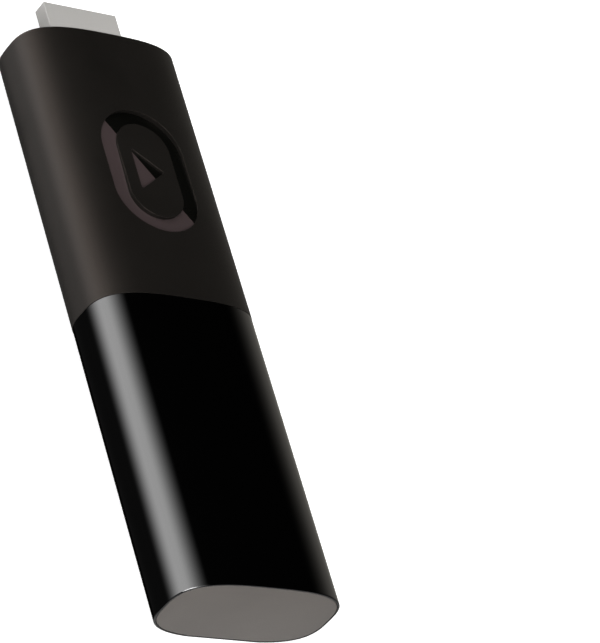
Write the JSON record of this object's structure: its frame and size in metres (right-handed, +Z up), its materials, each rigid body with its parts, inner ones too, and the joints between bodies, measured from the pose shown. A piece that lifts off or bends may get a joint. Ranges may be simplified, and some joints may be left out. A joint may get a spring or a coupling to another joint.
{
  "type": "streaming media player",
  "caption": "Slim streaming stick: matt and gloss black sleeve housing, grey end plate, video plug at one end, power socket in one side, and the board and cooling inside.",
  "frame": {"origin": "bottom centre of the whole part's box, the plug included, with the stick lying on its back", "axes": "+Y along the stick towards the plug's tip, +Z up out of the front, +X towards the side with the power socket"},
  "size_m": [0.03, 0.1132, 0.0148],
  "materials": {
    "matt_shell": "fine matt black, very slightly warm",
    "gloss_shell": "polished black",
    "end_cap": "flat satin grey",
    "carrier": "plain moulded black",
    "board": "green solder mask",
    "plug_metal": "satin nickel plate",
    "shield_metal": "tinned sheet steel",
    "contact_gold": "thin gold plate",
    "insulator": "moulded black",
    "chip": "moulded epoxy",
    "spreader": "satin aluminium",
    "thermal_pad": "soft grey pad",
    "ferrite": "dull dark grey",
    "ceramic": "tan ceramic",
    "clear_plastic": "clear moulded plastic",
    "led": "pale lens",
    "screw": "plain steel"
  },
  "bodies": {
    "root": {"upper_shell": "matt_shell", "lower_shell": "gloss_shell", "end_cap": "end_cap", "carrier_frame": "carrier", "main_board": "board", "plug_shell": "plug_metal", "plug_insulator": "insulator", "plug_pins_upper": "contact_gold", "plug_pins_lower": "contact_gold", "power_socket_shell": "plug_metal", "power_socket_tongue": "insulator", "power_socket_pins": "contact_gold", "status_led": "led", "light_pipe": "clear_plastic", "front_shield_fence": "shield_metal", "front_shield_lid": "shield_metal", "back_shield_fence": "shield_metal", "back_shield_lid": "shield_metal", "front_thermal_pad": "thermal_pad", "back_thermal_pad": "thermal_pad", "processor_thermal_pad": "thermal_pad", "front_heat_spreader": "spreader", "back_heat_spreader": "spreader", "processor": "chip", "memory_chip_1": "chip", "memory_chip_2": "chip", "flash_chip": "chip", "surge_array_1": "chip", "surge_array_2": "chip", "power_controller": "chip", "inductor_1": "ferrite", "inductor_2": "ferrite", "inductor_3": "ferrite", "crystal": "shield_metal", "capacitor_1": "ceramic", "capacitor_2": "ceramic", "capacitor_3": "ceramic", "capacitor_4": "ceramic", "radio_module_board": "board", "radio_module_shield": "shield_metal", "wifi_antenna": "contact_gold", "bluetooth_antenna": "contact_gold", "board_screw_1": "screw", "board_screw_2": "screw"}
  },
  "joints": []
}
